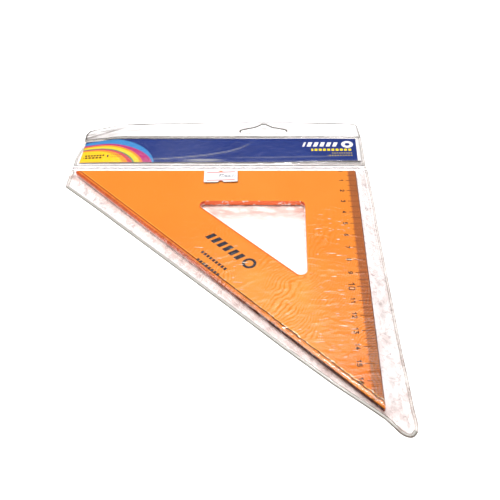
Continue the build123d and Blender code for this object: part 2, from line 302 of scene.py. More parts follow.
def ribbon(name, path, width, section, base, knurl=0.0, rims=(0.25, 0.25)):
    """A welded rim: path is its outer edge with the film on its left, and section its profile.

    The profile's points are (share of the width, height). knurl is the depth of a cross pattern.
    rims are the shares of the width that take painted grey shade towards the outer and inner edge.
    """
    along = np.gradient(path, axis=0)
    along /= np.hypot(*along.T)[:, None]
    inwards = np.stack([-along[:, 1], along[:, 0]], -1)
    run = np.concatenate([[0], np.cumsum(np.hypot(*np.diff(path, axis=0).T))])
    rows = []
    for share, rise in section:
        spot = path + inwards * width * share
        across = share * width
        beat = np.cos(2 * pi * (run + across) / KNURL_PITCH)
        beat = beat * np.cos(2 * pi * (run - across) / KNURL_PITCH)
        z = base(spot[:, 0], spot[:, 1]) + rise + knurl * beat * (0.1 < share < 0.9)
        rows.append(np.column_stack([spot, z]))
    points = np.stack(rows, 1).reshape(-1, 3)
    under = np.column_stack([points[:, :2], base(points[:, 0], points[:, 1])])
    count, length = len(section), len(path)
    starts = [i * count + j for i in range(length - 1) for j in range(count - 1)]
    faces = [[a, a + count, a + count + 1, a + 1] for a in starts]
    # painted shade towards the rims, read by the weld materials
    grey = [max(0, 1 - share / rims[0], 1 - (1 - share) / rims[1]) for share, _ in section]
    return make_mesh(name, np.concatenate([points, under]), enclosed(faces, len(points)),
                     np.tile(grey, 2 * length))


# --- materials ---

def colour(red, green, blue, light=1.0):
    """A screen colour, 0 to 255 each, as linear light."""
    return [*((((c / 255 + 0.055) / 1.055) ** 2.4) / light for c in (red, green, blue)), 1.0]


def surface(red, green, blue):
    """The paint that looks like a screen colour under this scene's strong light."""
    return colour(red, green, blue, EXPOSED)


class Value:
    """A number or colour that varies over a surface. Formulas written with it become nodes."""

    def __init__(self, paint, socket):
        self.paint, self.socket = paint, socket

    def _with(self, operation, other=None, swap=False):
        inputs = [self] if other is None else ([other, self] if swap else [self, other])
        return self.paint.math(operation, *inputs)

    def __add__(self, other): return self._with("ADD", other)
    def __sub__(self, other): return self._with("SUBTRACT", other)
    def __mul__(self, other): return self._with("MULTIPLY", other)
    def __truediv__(self, other): return self._with("DIVIDE", other)
    def __pow__(self, other): return self._with("POWER", other)
    def __rsub__(self, other): return self._with("SUBTRACT", other, swap=True)
    __radd__, __rmul__ = __add__, __mul__

    def abs(self): return self._with("ABSOLUTE")
    def sin(self): return self._with("SINE")
    def root(self): return self._with("SQRT")
    def under(self, other): return self._with("LESS_THAN", other)
    def over(self, other): return self._with("GREATER_THAN", other)
    def least(self, other): return self._with("MINIMUM", other)
    def most(self, other): return self._with("MAXIMUM", other)

    def step(self, start, end):
        """0 before start, 1 after end, and a smooth step between them."""
        node = self.paint.node("ShaderNodeMapRange", interpolation_type="SMOOTHSTEP")
        for socket, value in zip(node.inputs, (self, start, end, 0.0, 1.0)):
            self.paint.feed(socket, value)
        return Value(self.paint, node.outputs[0])

    def near(self, centre, reach, soft=0.15):
        """1 within reach of centre, with soft edges."""
        return 1 - (self - centre).abs().step(reach - soft, reach + soft)


class Paint:
    """One material and the nodes it is made of."""

    def __init__(self, name):
        self.material = bpy.data.materials.new(name)
        self.material.use_nodes = True
        self.tree = self.material.node_tree
        self.tree.nodes.clear()
        place = self.node("ShaderNodeTexCoord").outputs["Object"]
        scaled = self.node("ShaderNodeVectorMath", operation="SCALE")
        self.feed(scaled.inputs[0], place)
        scaled.inputs["Scale"].default_value = 1 / MM
        self.place = scaled.outputs[0]
        self.x, self.y, self.z = self.split(self.place)

    def node(self, kind, **settings):
        node = self.tree.nodes.new(kind)
        for name, value in settings.items():
            setattr(node, name, value)
        return node

    def feed(self, socket, value):
        if isinstance(value, Value):
            value = value.socket
        if isinstance(value, bpy.types.NodeSocket):
            self.tree.links.new(value, socket)
        else:
            socket.default_value = value

    def math(self, operation, *values):
        node = self.node("ShaderNodeMath", operation=operation)
        for socket, value in zip(node.inputs, values):
            self.feed(socket, value)
        return Value(self, node.outputs[0])

    def split(self, vector):
        node = self.node("ShaderNodeSeparateXYZ")
        self.feed(node.inputs[0], vector)
        return [Value(self, node.outputs[i]) for i in range(3)]

    def normal(self):
        """Which way each facet looks, in the piece's own axes."""
        turned = self.node("ShaderNodeVectorTransform", vector_type="NORMAL", convert_from="WORLD",
                           convert_to="OBJECT")
        self.feed(turned.inputs[0], self.node("ShaderNodeNewGeometry").outputs["True Normal"])
        return self.split(turned.outputs[0])

    def wall(self):
        """1 on side walls, and 0 on facets that look up or down."""
        return self.normal()[2].abs().under(STEEP)

    def from_long_side(self):
        """How far in from the plate's long side a place is, and negative outside it."""
        return (self.x + self.y + LEG) * (1 / sqrt(2))

    def attribute(self, name):
        return Value(self, self.node("ShaderNodeAttribute", attribute_name=name).outputs["Fac"])

    def noise(self, size, detail=2.0, stretch=(1, 1, 1), turn=0.0):
        """Noise from 0 to 1 with bumps about size millimetres across."""
        mapping = self.node("ShaderNodeMapping")
        self.feed(mapping.inputs["Vector"], self.place)
        mapping.inputs["Rotation"].default_value = (0, 0, radians(turn))
        mapping.inputs["Scale"].default_value = [1 / (size * s) for s in stretch]
        node = self.node("ShaderNodeTexNoise")
        self.feed(node.inputs["Vector"], mapping.outputs[0])
        node.inputs["Scale"].default_value = 1.0
        node.inputs["Detail"].default_value = detail
        return Value(self, node.outputs["Fac"])

    def mix(self, share, first, second):
        """From the first colour to the second as share goes from 0 to 1."""
        node = self.node("ShaderNodeMix", data_type="RGBA")
        self.feed(node.inputs["Factor"], share)
        self.feed(node.inputs[6], first)
        self.feed(node.inputs[7], second)
        return Value(self, node.outputs[2])

    def bump(self, height, depth):
        """A normal from a height field, whose depth is in millimetres."""
        node = self.node("ShaderNodeBump")
        self.feed(node.inputs["Height"], height)
        node.inputs["Distance"].default_value = depth * MM
        return node.outputs[0]

    def principled(self, base, roughness, normal=None, **settings):
        node = self.node("ShaderNodeBsdfPrincipled")
        self.feed(node.inputs["Base Color"], base)
        self.feed(node.inputs["Roughness"], roughness)
        for name, value in settings.items():
            node.inputs[name.replace("_", " ")].default_value = value
        if normal is not None:
            self.feed(node.inputs["Normal"], normal)
        return node.outputs[0]

    def clear(self, tint):
        node = self.node("ShaderNodeBsdfTransparent")
        self.feed(node.inputs["Color"], tint)
        return node.outputs[0]

    def blend(self, share, first, second):
        node = self.node("ShaderNodeMixShader")
        self.feed(node.inputs[0], share)
        self.feed(node.inputs[1], first)
        self.feed(node.inputs[2], second)
        return node.outputs[0]

    def gloss_share(self, normal, straight):
        """How much a clear skin reflects: little straight on, and more at a low angle."""
        node = self.node("ShaderNodeLayerWeight")
        node.inputs["Blend"].default_value = 0.5
        self.feed(node.inputs["Normal"], normal)
        facing = Value(self, node.outputs["Facing"])
        return straight + (1 - straight) * facing ** 5.0

    def finish(self, shader):
        output = self.node("ShaderNodeOutputMaterial")
        self.feed(output.inputs["Surface"], shader)
        return self.material


CLEAR_ORANGE = colour(255, 170, 90)        # light through the acrylic

# painted shadows of the scale's ticks darken the acrylic about them: their pitch, where their
# cosine starts and ends the line, and how far in they reach
TICK_SHADOWS = ((1.0, 0.1, 0.9, 5.7), (5.0, 0.86, 0.98, 6.3), (10.0, 0.965, 0.995, 7.1))


def plate_material():
    """Fluorescent orange acrylic, brown along the scale, with painted shade and light on its sides.
    """
    p = Paint("orange_acrylic")
    lower = p.y.step(-70.0, -130.0)
    ragged = p.y.step(-95.0, -140.0)
    base = p.mix(p.noise(28.0, 3.0), surface(255, 150, 44), surface(255, 163, 62))
    base = p.mix(p.x.step(-70.0, -120.0) * 0.55, base, surface(255, 148, 36))
    # painted sheen: lighter orange over the lower middle of the plate, less to the right
    painted_sheen = p.y.step(-62.0, -112.0) * (1 - p.y.step(-128.0, -160.0))
    painted_sheen = painted_sheen * (1 - p.x.step(-42.0, -14.0) * 0.7)
    base = p.mix(painted_sheen, base, surface(255, 180, 84))
    # painted shade: deeper orange towards the plate's tip
    base = p.mix(p.y.step(-136.0, -158.0) * 0.7, base, surface(246, 132, 18))

    # the brown scale, from its ticks' print and their painted shadows, with painted tick shadows
    # over it and darker at its bevel
    tick_print_and_shadow_band = p.x.step(-5.2, -4.9) * (0.86 + 0.14 * p.noise(0.7, 2.0, stretch=(6, 1, 1)))
    brown = p.mix(p.y.step(-60.0, -160.0), surface(214, 124, 62), surface(204, 128, 66))
    base = p.mix(tick_print_and_shadow_band, base, brown)
    # painted shadows about each tick
    ticks = 0.0
    for pitch, low, high, end in TICK_SHADOWS:
        line = (p.y * (2 * pi / pitch) + pi / 2).sin().step(low, high)
        ticks = (line * p.x.step(-end, 0.2 - end)).most(ticks)
    on_scale = p.y.near(-85.4, 84.9) * p.x.under(-0.75)
    base = p.mix(ticks * on_scale * 0.62, base, surface(112, 58, 26))
    base = p.mix(p.x.step(-0.75, -0.5), base, surface(128, 70, 30))

    # the sloping step along the long side: a painted highlight line with painted glints, a dark
    # line of painted shade, deeper orange, and red painted shade at the very edge of the upper half
    side = p.from_long_side() + (p.noise(3.0, 3.0) - 0.5) * ragged * 2.4
    step_tint = p.mix(lower, surface(255, 148, 50), surface(255, 150, 20))
    base = p.mix(1 - side.step(1.4, 1.6), base, step_tint)
    base = p.mix(side.near(0.1, 0.42) * (1 - lower), base, surface(204, 80, 38))
    # painted glints along the painted highlight line, in the lower part
    painted_glints = p.noise(2.2, 2.0).step(0.45, 0.6) * ragged
    painted_highlight_line = p.mix(painted_glints, surface(255, 196, 80), colour(255, 252, 226))
    base = p.mix(side.near(2.2, 0.26), base, painted_highlight_line)
    # painted shade: a dark red line along the step, near black towards the tip
    dark = p.mix(p.y.step(-60.0, -110.0), surface(176, 48, 8), surface(84, 24, 8))
    base = p.mix(side.near(1.7, 0.36), base, dark)

    # painted red line beside the cut-out's long side: its far wall as seen through the acrylic
    far_wall_seen_through = p.from_long_side().near(LONG_BORDER - 1.0, 0.4)
    in_window = p.x.under(-37.0) * p.y.under(-35.5)
    base = p.mix(far_wall_seen_through * in_window * 0.8, base, surface(226, 92, 26))

    # side walls in painted light and shade: pale below and red above, then black below and orange
    # above. In the cut-out the far side is red with painted glints; by the scale, painted brown
    # shade
    nx, ny, nz = p.normal()
    painted_upper_wall = p.mix(p.z.step(1.5, 2.3), colour(252, 206, 190), colour(214, 84, 44))
    tint = p.mix(lower, painted_upper_wall, surface(240, 112, 12))
    painted_black_shade = p.mix(p.noise(4.0, 2.0), surface(16, 8, 10), surface(96, 40, 26))
    tint = p.mix(lower * (1 - p.z.step(2.9, 3.3)), tint, painted_black_shade)
    painted_wall_glints = p.noise(2.2, 2.0, stretch=(1.4, 1, 1)).step(0.57, 0.65)
    red = p.mix(painted_wall_glints, colour(255, 124, 72), colour(255, 246, 236))
    tint = p.mix(ny.under(-0.95), tint, red)
    tint = p.mix(nx.under(-0.95), tint, surface(176, 92, 72))
    base = p.mix(nz.abs().under(STEEP), base, tint)
    solid = p.principled(base, 0.3, Specular_IOR_Level=0.12)
    return p.finish(p.blend(0.86, p.clear(CLEAR_ORANGE), solid))


def ink_material(name, ink, worn=0.0):
    """Printing ink, lighter in patches. Where it is worn, the plate shows through them."""
    p = Paint(name)
    patches = p.noise(1.6, 3.0).step(0.35, 0.7)
    base = p.mix(patches * 0.5, ink, [c * 1.6 for c in ink[:3]] + [1.0])
    solid = p.principled(base, 0.45, Specular_IOR_Level=0.2)
    return p.finish(p.blend(1 - worn * patches, p.clear(CLEAR_ORANGE), solid))


def over_plate(p):
    """Where the pocket's film is over the plate's outline, over its cut-out, and over acrylic."""
    from_long = p.from_long_side()
    above = from_long.over(1.41) * p.x.under(-0.3) * p.y.under(-0.5)
    window = p.x.under(1 - SCALE_BORDER) * p.y.under(1 - TOP_BORDER) * from_long.over(LONG_BORDER)
    return above, window, above * (1 - window)


def pocket_look(p, clear, milk_share, height):
    """The pocket's film: the vinyl's tint, milk and surface height, with what it shows added.

    Where it clings to the plate it has fine contours and short painted glints. Beside the plate it
    has painted shade and thin crinkle lines, and in the cut-out a painted glow of the plate's
    orange.
    """
    above, window, over = over_plate(p)
    beyond = 1 - above
    warp = p.noise(44.0, 1.0) * 40 + p.noise(9.0, 2.0) * 4
    low_half = p.y.step(-25.0, -125.0)
    patches = p.noise(20.0, 2.0).step(0.25, 0.55)
    line = ((p.x * 0.9 - p.y * 0.4 + warp) * (2 * pi / CONTOUR_PITCH)).sin()
    strength = low_half * 0.55 * patches + 0.1
    clear = p.mix(line.step(-0.1, 1.0) * strength * over, clear, colour(255, 226, 180))
    milk_share = milk_share + (line * -1.0).step(0.1, 1.0) * strength * over * 0.03
    height = height + line * 0.05 * strength

    # beside the plate: painted shade, warmer along its long side, and in thin crinkle lines
    shade = p.noise(13.0, 3.0).step(0.35, 0.75) * (low_half * 0.3 + 0.1)
    clear = p.mix(shade * beyond, clear, colour(228, 220, 218))
    beside = p.from_long_side().near(-3.0, 1.2, 1.2)
    clear = p.mix(beside * beyond * 0.35, clear, colour(222, 206, 200))
    fine_crinkle = p.noise(6.0, 2.0).near(0.5, 0.008, 0.01)
    crinkle = fine_crinkle.most(p.noise(11.0, 3.0).near(0.5, 0.006, 0.008))
    clear = p.mix(crinkle * beyond * 0.22, clear, colour(170, 152, 148))

    # painted glow of the plate's orange, faint in the film over the cut-out and strongest along its
    # top
    painted_glow = p.y.step(-54.0, -33.0) * 0.7 + p.x.step(-42.0, -31.0) * 0.25
    painted_glow = painted_glow * p.noise(3.2, 3.0, stretch=(2, 1, 1)).step(0.25, 0.7)
    open_view = window * p.x.under(-32.6) * p.y.under(-33.8)
    clear = p.mix(painted_glow * open_view, clear, colour(220, 192, 182))

    # painted glints: short milky dashes over the plate
    for turn, left, right, top in GLINT_AREAS:
        area = p.x.step(left, left + 12) * p.x.step(right, right - 4) * p.y.step(top, top - 20)
        painted_glint_dash = p.noise(0.95, 1.0, stretch=(6.0, 1, 1), turn=turn).step(0.70, 0.74)
        milk_share = milk_share + painted_glint_dash * area * over * 0.5
    return clear, milk_share, height


def vinyl_material(name, crease_shade=0.25, crease_milk=0.02, rim_shade=0.12, straight=0.022,
                   clings=False, ripple=None, lines=()):
    """Clear soft vinyl: shiny, a little hazy, with painted grey shade at its cut rims and where
    creased.

    clings adds the look of the pocket's film. ripple is the (left, right) stretch where the
    header's film clings to its card, with a painted sheen of milky ripples. lines are greyer level
    lines of painted shade: the height up the header, half the width and the strength of each.
    """
    p = Paint(name)
    crease = p.attribute("crease")
    # painted shade: greyer where creased and on the cut rims' walls
    clear = p.mix((crease * crease_shade).least(1.0), colour(254, 253, 253), colour(118, 108, 100))
    clear = p.mix(p.wall() * rim_shade, clear, colour(118, 110, 100))
    # milk where creased, which paints highlights on the header's front film
    milk_share = FILM_HAZE + crease_milk * crease
    height = p.noise(5.0, 3.0)
    if clings:
        clear, milk_share, height = pocket_look(p, clear, milk_share, height)
    if ripple:
        # painted sheen: milky diagonal ripples
        left, right = ripple
        wave = (p.x * 0.95 - p.y * 0.3 + p.noise(16.0, 1.0) * 9) * (2 * pi / RIPPLE_PITCH)
        where = p.x.step(left, left + 14) * (1 - p.x.step(right - 18, right))
        milk_share = milk_share + wave.sin().step(-0.3, 1.0) * where * 0.016
    # painted shade: greyer level lines across the card's width
    for place, half_width, dark in lines:
        uneven = p.noise(9.0, 3.0, stretch=(2, 1, 1))
        line = (p.y + uneven * 0.9 - 0.45).near(place, half_width, 0.25) * (uneven * 0.8 + 0.4)
        on_card = p.x.near((card_low[0] + card_high[0]) / 2, (card_high[0] - card_low[0]) / 2, 1.5)
        clear = p.mix(line * on_card * dark, clear, colour(120, 110, 98))
    normal = p.bump(height, 0.25)
    shine = p.principled([0.98, 0.98, 1.0, 1.0], 0.09, normal, Metallic=1.0)
    milk = p.principled([0.8, 0.74, 0.62, 1.0] if clings else [0.8, 0.8, 0.82, 1.0], 0.5)
    body = p.blend(milk_share.least(1.0), p.clear(clear), milk)
    return p.finish(p.blend(p.gloss_share(normal, straight), body, shine))


def weld_material(name, face, edge, face_share, edge_share, rim_shade):
    """Fused vinyl: milkier than the film, with painted grey shade at its rims and where it faces
    the sides.

    face and edge are its colours from above and at its sides, edge as painted shade, and the shares
    say how solid it is there. rim_shade is how far its rims go towards the painted shade of the
    sides.
    """
    p = Paint(name)
    facing_up = p.normal()[2].abs().step(0.5, 0.9)
    side_shade = (1 - facing_up).most(p.attribute("crease") * rim_shade)
    base = p.mix(side_shade, face, edge)
    solid = p.principled(base, 0.3, p.bump(p.noise(0.9, 2.0), 0.12))
    clear = p.mix(side_shade, colour(251, 251, 250), colour(190, 184, 174))
    share = side_shade * (edge_share - face_share) + face_share
    return p.finish(p.blend(share, p.clear(clear), solid))


RAINBOW_CENTRE_Y = 8.0
CARD_EDGE_Y = 13.6
# each band's outer edge: where it peaks, where it meets the card's lower edge, and its colour
RAINBOW = (
    (-161.0, 36.2, -127.4, (62, 138, 200)), (-166.0, 31.9, -128.8, (186, 58, 122)),
    (-166.0, 30.6, -134.8, (240, 144, 50)), (-166.0, 29.4, -136.6, (232, 212, 56)),
    (-168.0, 27.4, -140.2, (84, 140, 112)), (-168.0, 26.7, -141.4, (204, 80, 92)),
    (-169.0, 25.7, -144.5, (246, 156, 50)), (-170.0, 24.6, -148.0, (255, 208, 36)),
)
# rows of plain dashes: height up the card, half height, left and right end, pitch, colour, strength
DASH_ROWS = (
    (20.0, 0.8, -173.6, -160.4, 1.9, (58, 42, 26), 1.0),
    (17.7, 0.8, -173.8, -161.4, 2.3, (58, 42, 26), 1.0),
    (20.2, 0.5, -156.2, -150.0, 1.3, (150, 110, 50), 0.6),
    (18.2, 0.5, -156.2, -150.0, 1.6, (150, 110, 50), 0.6),
    (24.0, 1.1, -26.6, -0.8, 2.7, (250, 222, 40), 1.0),
    (20.6, 0.6, -13.5, -0.8, 1.5, (176, 160, 90), 0.8),
    (18.2, 0.6, -16.2, -0.4, 1.7, (176, 160, 90), 0.8),
)


def card_material():
    """The header card's print: a rainbow on yellow, and plain bars and dashes on dark blue."""
    p = Paint("printed_card")
    white = surface(250, 250, 252)
    base = p.mix(p.noise(30.0, 2.0), surface(22, 44, 116), surface(34, 58, 130))
    # rainbow: bands between ellipses that share the height of their centres
    for peak_x, peak_y, end_x, tint in RAINBOW:
        rise = peak_y - RAINBOW_CENTRE_Y
        end_share = sqrt(1 - ((CARD_EDGE_Y - RAINBOW_CENTRE_Y) / rise) ** 2)
        across = (p.x - peak_x) / ((end_x - peak_x) / end_share)
        up = (p.y - RAINBOW_CENTRE_Y) / rise
        radius = (across * across + up * up).root()
        base = p.mix(1 - radius.step(0.985, 1.015), base, surface(*tint))
    for y, half_height, left, right, pitch, tint, strength in DASH_ROWS:
        gap = ((p.x * (2 * pi / pitch)).sin() + 0.55).step(-0.15, 0.15)
        wide = p.x.near((left + right) / 2, (right - left) / 2, 0.2)
        base = p.mix(gap * wide * p.y.near(y, half_height) * strength, base, surface(*tint))
    # a short upright bar, slanted white bars, a ring, and the card's white right end
    base = p.mix(p.x.near(-158.0, 0.5) * p.y.near(19.0, 1.2), base, surface(28, 36, 74))
    lean = p.x - (p.y - 29.6) * 0.3
    bars = ((lean * (2 * pi / 4.1)).sin() + 0.35).step(-0.12, 0.12)
    base = p.mix(bars * lean.near(-20.2, 11.6, 0.2) * p.y.near(29.6, 2.2), base, white)
    ring_x, ring_y = p.x + 3.4, (p.y - 29.7) * 1.05
    base = p.mix((ring_x * ring_x + ring_y * ring_y).root().near(2.7, 1.1, 0.2), base, white)
    base = p.mix(p.x.step(2.2, 2.5), base, surface(250, 250, 250))
    base = p.mix(p.normal()[2].under(0.2), base, surface(236, 234, 228))
    grain = p.bump(p.noise(0.5, 2.0), 0.02)
    return p.finish(p.principled(base, 0.4, grain, Specular_IOR_Level=0.05))


def label_material(centre):
    """A white paper label with two printed red lines and a row of faint specks."""
    p = Paint("label_paper")
    c, s = cos(radians(LABEL_TURN)), sin(radians(LABEL_TURN))
    across = (p.x - centre[0]) * c + (p.y - centre[1]) * s
    up = (p.y - centre[1]) * c - (p.x - centre[0]) * s
    base = p.mix(p.noise(2.0, 3.0), surface(236, 236, 238), surface(244, 244, 245))
    lines = up.abs().near(LABEL_HEIGHT / 2 - 2.0, 0.42, 0.15) * across.near(0.0, 8.6, 0.2)
    base = p.mix(lines * 0.9, base, surface(232, 70, 72))
    specks = p.noise(1.2, 1.0).step(0.5, 0.56) * across.near(4.0, 5.0, 0.6) * up.near(0.3, 1.9, 0.3)
    base = p.mix(specks * 0.8, base, surface(60, 60, 76))
    return p.finish(p.principled(base, 0.6, p.bump(p.noise(0.4, 2.0), 0.02)))


# --- heights of the films ---

def side_margin(x, y):
    """How far each point is past the plate's scale side or long side, and negative between them."""
    return np.maximum(x, -(x + y + LEG) / sqrt(2))


def short_creases(x, y, rng, count, region, direction, length, height):
    """Short creases scattered over a region, each a narrow ridge."""
    total = np.zeros(np.shape(x))
    for _ in range(count):
        cx, cy = rng.uniform(region[0], region[2]), rng.uniform(region[1], region[3])
        angle = radians(direction + rng.normal(0, 14))
        half = rng.uniform(*length) / 2
        rise = rng.uniform(*height)
        if cx + cy < -LEG:
            continue
        u = (x - cx) * cos(angle) + (y - cy) * sin(angle)
        v = -(x - cx) * sin(angle) + (y - cy) * cos(angle) - 0.03 * u * u / half
        total += rise * np.exp(-(v / CREASE_WIDTH) ** 2 - (u / half) ** 4)
    return total


outer_right = curved((*TIP_CURVE, *RIGHT_EDGE), 1.0)
outer_long = np.vstack([spaced(LONG_EDGE, 1.0), TIP_CURVE[0]])
outer_left = spaced(((SLEEVE_LEFT, FOLD_Y), (SLEEVE_LEFT, -11.6), LONG_EDGE[0]), 1.0)
inner_right = curved(RIGHT_INNER, 1.0)
inner_outline = np.vstack([
    spaced(((SLEEVE_LEFT + 2, FOLD_Y), (SLEEVE_LEFT + 2.2, -11.0)), 2.0),
    spaced([(x + 0.7, y + 0.75) for x, y in LONG_EDGE], 2.0),
    spaced(((0.3, -176.9), RIGHT_INNER[-1]), 2.0)[1:-1], inner_right[::-2],
])
pocket_outline = np.vstack([outer_left[:-1], outer_long[:-1], outer_right])


def front_height(x, y):
    """The pocket's front film: draped over the plate, down to the welds, and open at the mouth."""
    inner = np.vstack([inner_outline, inner_outline[:1]])
    room = np.where(inside(x, y, inner_outline), distance(x, y, inner), 0)
    mouth = ramp(y, -2, 0.5)
    side_room = np.minimum(np.abs(x - SLEEVE_LEFT - 2), np.abs(x - 6.0))
    room = np.where(mouth > 0, np.maximum(room * (1 - mouth), side_room * mouth), room)
    beside = side_margin(x, y)
    beyond = np.maximum(np.maximum(beside, y) - SHOULDER, 0)
    beyond = beyond * (1 - mouth) + np.maximum(beside - SHOULDER, 0) * mouth
    drop = np.clip(beyond / (beyond + room + 1e-6), 0, 1)
    rng = np.random.default_rng(SEED)
    over = sum(short_creases(x, y, rng, *creases) for creases in MESH_CREASES)
    slow = 0.12 * noise(x, y, 30, 3) + 0.02 * noise(x, y, 9, 4)
    low_half = ramp(-y, 25, 120)
    fine = 0.01 * noise(x, y, 2.6, 5) * low_half
    top = PLATE_TOP + AIR + 0.12 + slow + fine + np.minimum(over, 0.3)
    crumple = noise(x, y, 3.6, 8) * 0.18 + noise(x, y, 1.9, 9) * 0.09
    skirt = 4 * drop * (1 - drop)
    shape = (1 - drop) ** 1.8
    z = WELDED_TOP + (top - WELDED_TOP) * shape + crumple * skirt * (0.5 + low_half)
    tip_zone = ramp(x, 0.5, 4) * ramp(-y, 140, 160)
    z += 0.22 * (noise(x, y, 3.0, 12) + 1) * tip_zone * np.clip(beyond, 0, 1)
    z -= ramp(y, 0, MOUTH_Y) * 0.15 * shape
    rim = ridge(distance(x, y, inner_right), 0.45)
    z += 0.12 * rim
    # the crease value paints grey shade in the skirt's crumples, at the inner right rim, down the
    # drop and at the tip
    crease = np.clip(3.0 * np.abs(crumple) * skirt + 0.5 * rim * (x > 0) + 0.15 * drop, 0, 1)
    crease += 0.25 * tip_zone * np.abs(noise(x, y, 2.2, 14))
    return z, np.clip(crease, 0, 1)


def back_height(x, y):
    """The pocket's back film, on the table under the plate."""
    return BACK_TOP + 0.02 * noise(x, y, 12, 21), np.zeros(x.shape)


def header_lift(x, y):
    """How far the header stands off the table: its upper edge most, and its left end not at all."""
    up = np.clip((y - FOLD_Y) / 31, 0, 1.05)
    left_end = ramp(x, HEADER_LEFT - 1, HEADER_LEFT + 29)
    top = 3.3 - 0.5 * ramp(x, -30, 5)
    lower = 1.5 * ramp(x, -60, 3) * ramp(y, FOLD_Y, FOLD_Y + 4)
    return left_end * (top * up ** 0.85 + lower * (1 - np.clip(up, 0, 1)))


def layer(offset, wave=0.0, size=6.0):
    """A header film's height function, at an offset above the bent header's underside."""
    def height(x, y):
        swell = noise(x, y, size, 31)
        return header_lift(x, y) + offset + wave * swell, np.clip(np.abs(swell) * wave * 4, 0, 1)
    return height


def header_front_height(x, y):
    """The header's front film, tight over the card, with a curved crease and painted level lines.
    """
    on_card = np.minimum.reduce([
        ramp(x, card_low[0] - 2, card_low[0]), ramp(-x, -card_high[0] - 2, -card_high[0]),
        ramp(y, card_low[1] - 2, card_low[1]), ramp(-y, -card_high[1] - 2, -card_high[1]),
    ])
    streak = ridge(y - np.interp(x, *zip(*STREAK)), 0.45) * ramp(x, -142, -125) * ramp(-x, 62, 74)
    glint = ridge(y - 14.6, 0.7) * ramp(x, -112, -98) * ramp(-x, 80, 92)
    faint = ridge(y - 17.2, 0.35) * ramp(x, -86, -60) * ramp(-x, 2, 20) * 0.22
    lower = ridge(y - card_low[1] + 0.2, 0.7) * (0.6 + 0.6 * noise(x, y, 9, 33))
    z = header_lift(x, y) + HEADER_FRONT + 0.32 * on_card + 0.04 * noise(x, y, 14, 32)
    z += 0.12 * streak + 0.12 * noise(x, y, 4, 34) * (1 - on_card)
    # the crease value paints milky highlights on the streak and two level lines, and shade under
    # the card
    return z, np.clip(0.6 * streak + 1.3 * glint + faint + 0.3 * lower + 0.3 * (1 - on_card), 0, 2)


# --- pieces ---

def box_outline(left, bottom, right, top, step):
    """An anticlockwise rectangle."""
    loop = ((right, bottom), (right, top), (left, top), (left, bottom), (right, bottom))
    return spaced(loop, step)[:-1]


def dress(piece, material, slot, body, *replaced):
    """Give a piece its material, and let it ride on a body in place of CAD nodes. slot is not used.
    """
    piece.data.materials.clear()
    piece.data.materials.append(material)
    if replaced:
        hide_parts(*replaced)
    if body:
        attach(piece, body)


def dress_header(piece, material, slot, *replaced):
    """A header piece rides on the header body, with a mesh of its own."""
    dress(piece, material, slot, "header", *replaced)
    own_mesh(piece)


def build_sleeve():
    """The pocket: its two films, and the welds along its three closed sides."""
    front = film("pocket_front_film", below_line(pocket_outline, MOUTH_Y), front_height, FILM_GRID)
    dress(front, vinyl_material("pocket_vinyl", clings=True), "film", "sleeve", "sleeve_front_film")
    back = film("pocket_back_film", below_line(pocket_outline, FOLD_Y - 0.8), back_height,
                FLAT_GRID, BACK_FILM)
    dress(back, vinyl_material("back_vinyl"), "film", "sleeve", "sleeve_back_film")

    bead = ((0.0, 0.0), (0.1, 0.35), (0.3, 0.62), (0.5, 0.72), (0.75, 0.6), (1.0, 0.3))
    strip = ((0.0, 0.25), (0.15, 0.36), (0.3, 0.3), (0.5, 0.27), (0.7, 0.3), (0.85, 0.34),
             (1.0, 0.25))

    def on_table(x, y):
        return WELD_UNDERSIDE + 0 * x

    # the second colour of each weld is its painted shade at the sides
    milky = weld_material("weld_bead", surface(248, 247, 240), surface(112, 102, 84),
                          0.4, 0.95, 0.9)
    knurled = weld_material("weld_strip", surface(246, 246, 244), surface(196, 192, 186),
                            0.03, 0.35, 0.3)
    long_path = np.vstack([spaced(LONG_EDGE, 0.6)[:-1],
                           curved((LONG_EDGE[-1], *TIP_CURVE[:-1]), 0.5)])
    long_bead = ribbon("long_weld_bead", long_path, 1.9, bead, on_table, rims=(0.6, 0.12))
    dress(long_bead, milky, "weld", "sleeve", "long_side_weld")
    left_path = spaced(((SLEEVE_LEFT, MOUTH_Y), (SLEEVE_LEFT, -11.6), LONG_EDGE[0]), 0.4)
    left_strip = ribbon("left_weld_strip", left_path, 2.1, strip, on_table, KNURL)
    dress(left_strip, knurled, "weld", "sleeve", "left_side_weld")
    right_path = curved((*TIP_CURVE[-2:], *RIGHT_EDGE), 0.4)
    right_strip = ribbon("right_weld_strip", right_path, 1.4, strip, on_table, KNURL)
    dress(right_strip, knurled, "weld", "sleeve", "right_side_weld")


def below_line(outline, top):
    """The part of an anticlockwise outline, open along its top, that is below a line."""
    x, y = outline.T
    kept = outline[y < top - 0.2]
    left = np.interp(top, outline[:5, 1][::-1], outline[:5, 0][::-1])
    right = np.interp(top, outline[-20:, 1], outline[-20:, 0])
    top_edge = spaced(((right, top), (left, top)), 1.0)
    return np.vstack([kept, top_edge])


def build_fold():
    """The strip of back film between the pocket's mouth and the header, at the fold."""
    outline = box_outline(SLEEVE_LEFT, FOLD_Y - 0.8, HEADER_RIGHT, FOLD_Y + 0.8, 0.8)

    def fold_height(x, y):
        # an even painted grey shade over the fold strip
        return BACK_TOP + 0 * x, 0.2 + 0 * x

    piece = film("fold_film", outline, fold_height, 0.5, BACK_FILM)
    dress(piece, vinyl_material("fold_vinyl"), "film", None)
    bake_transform(piece)


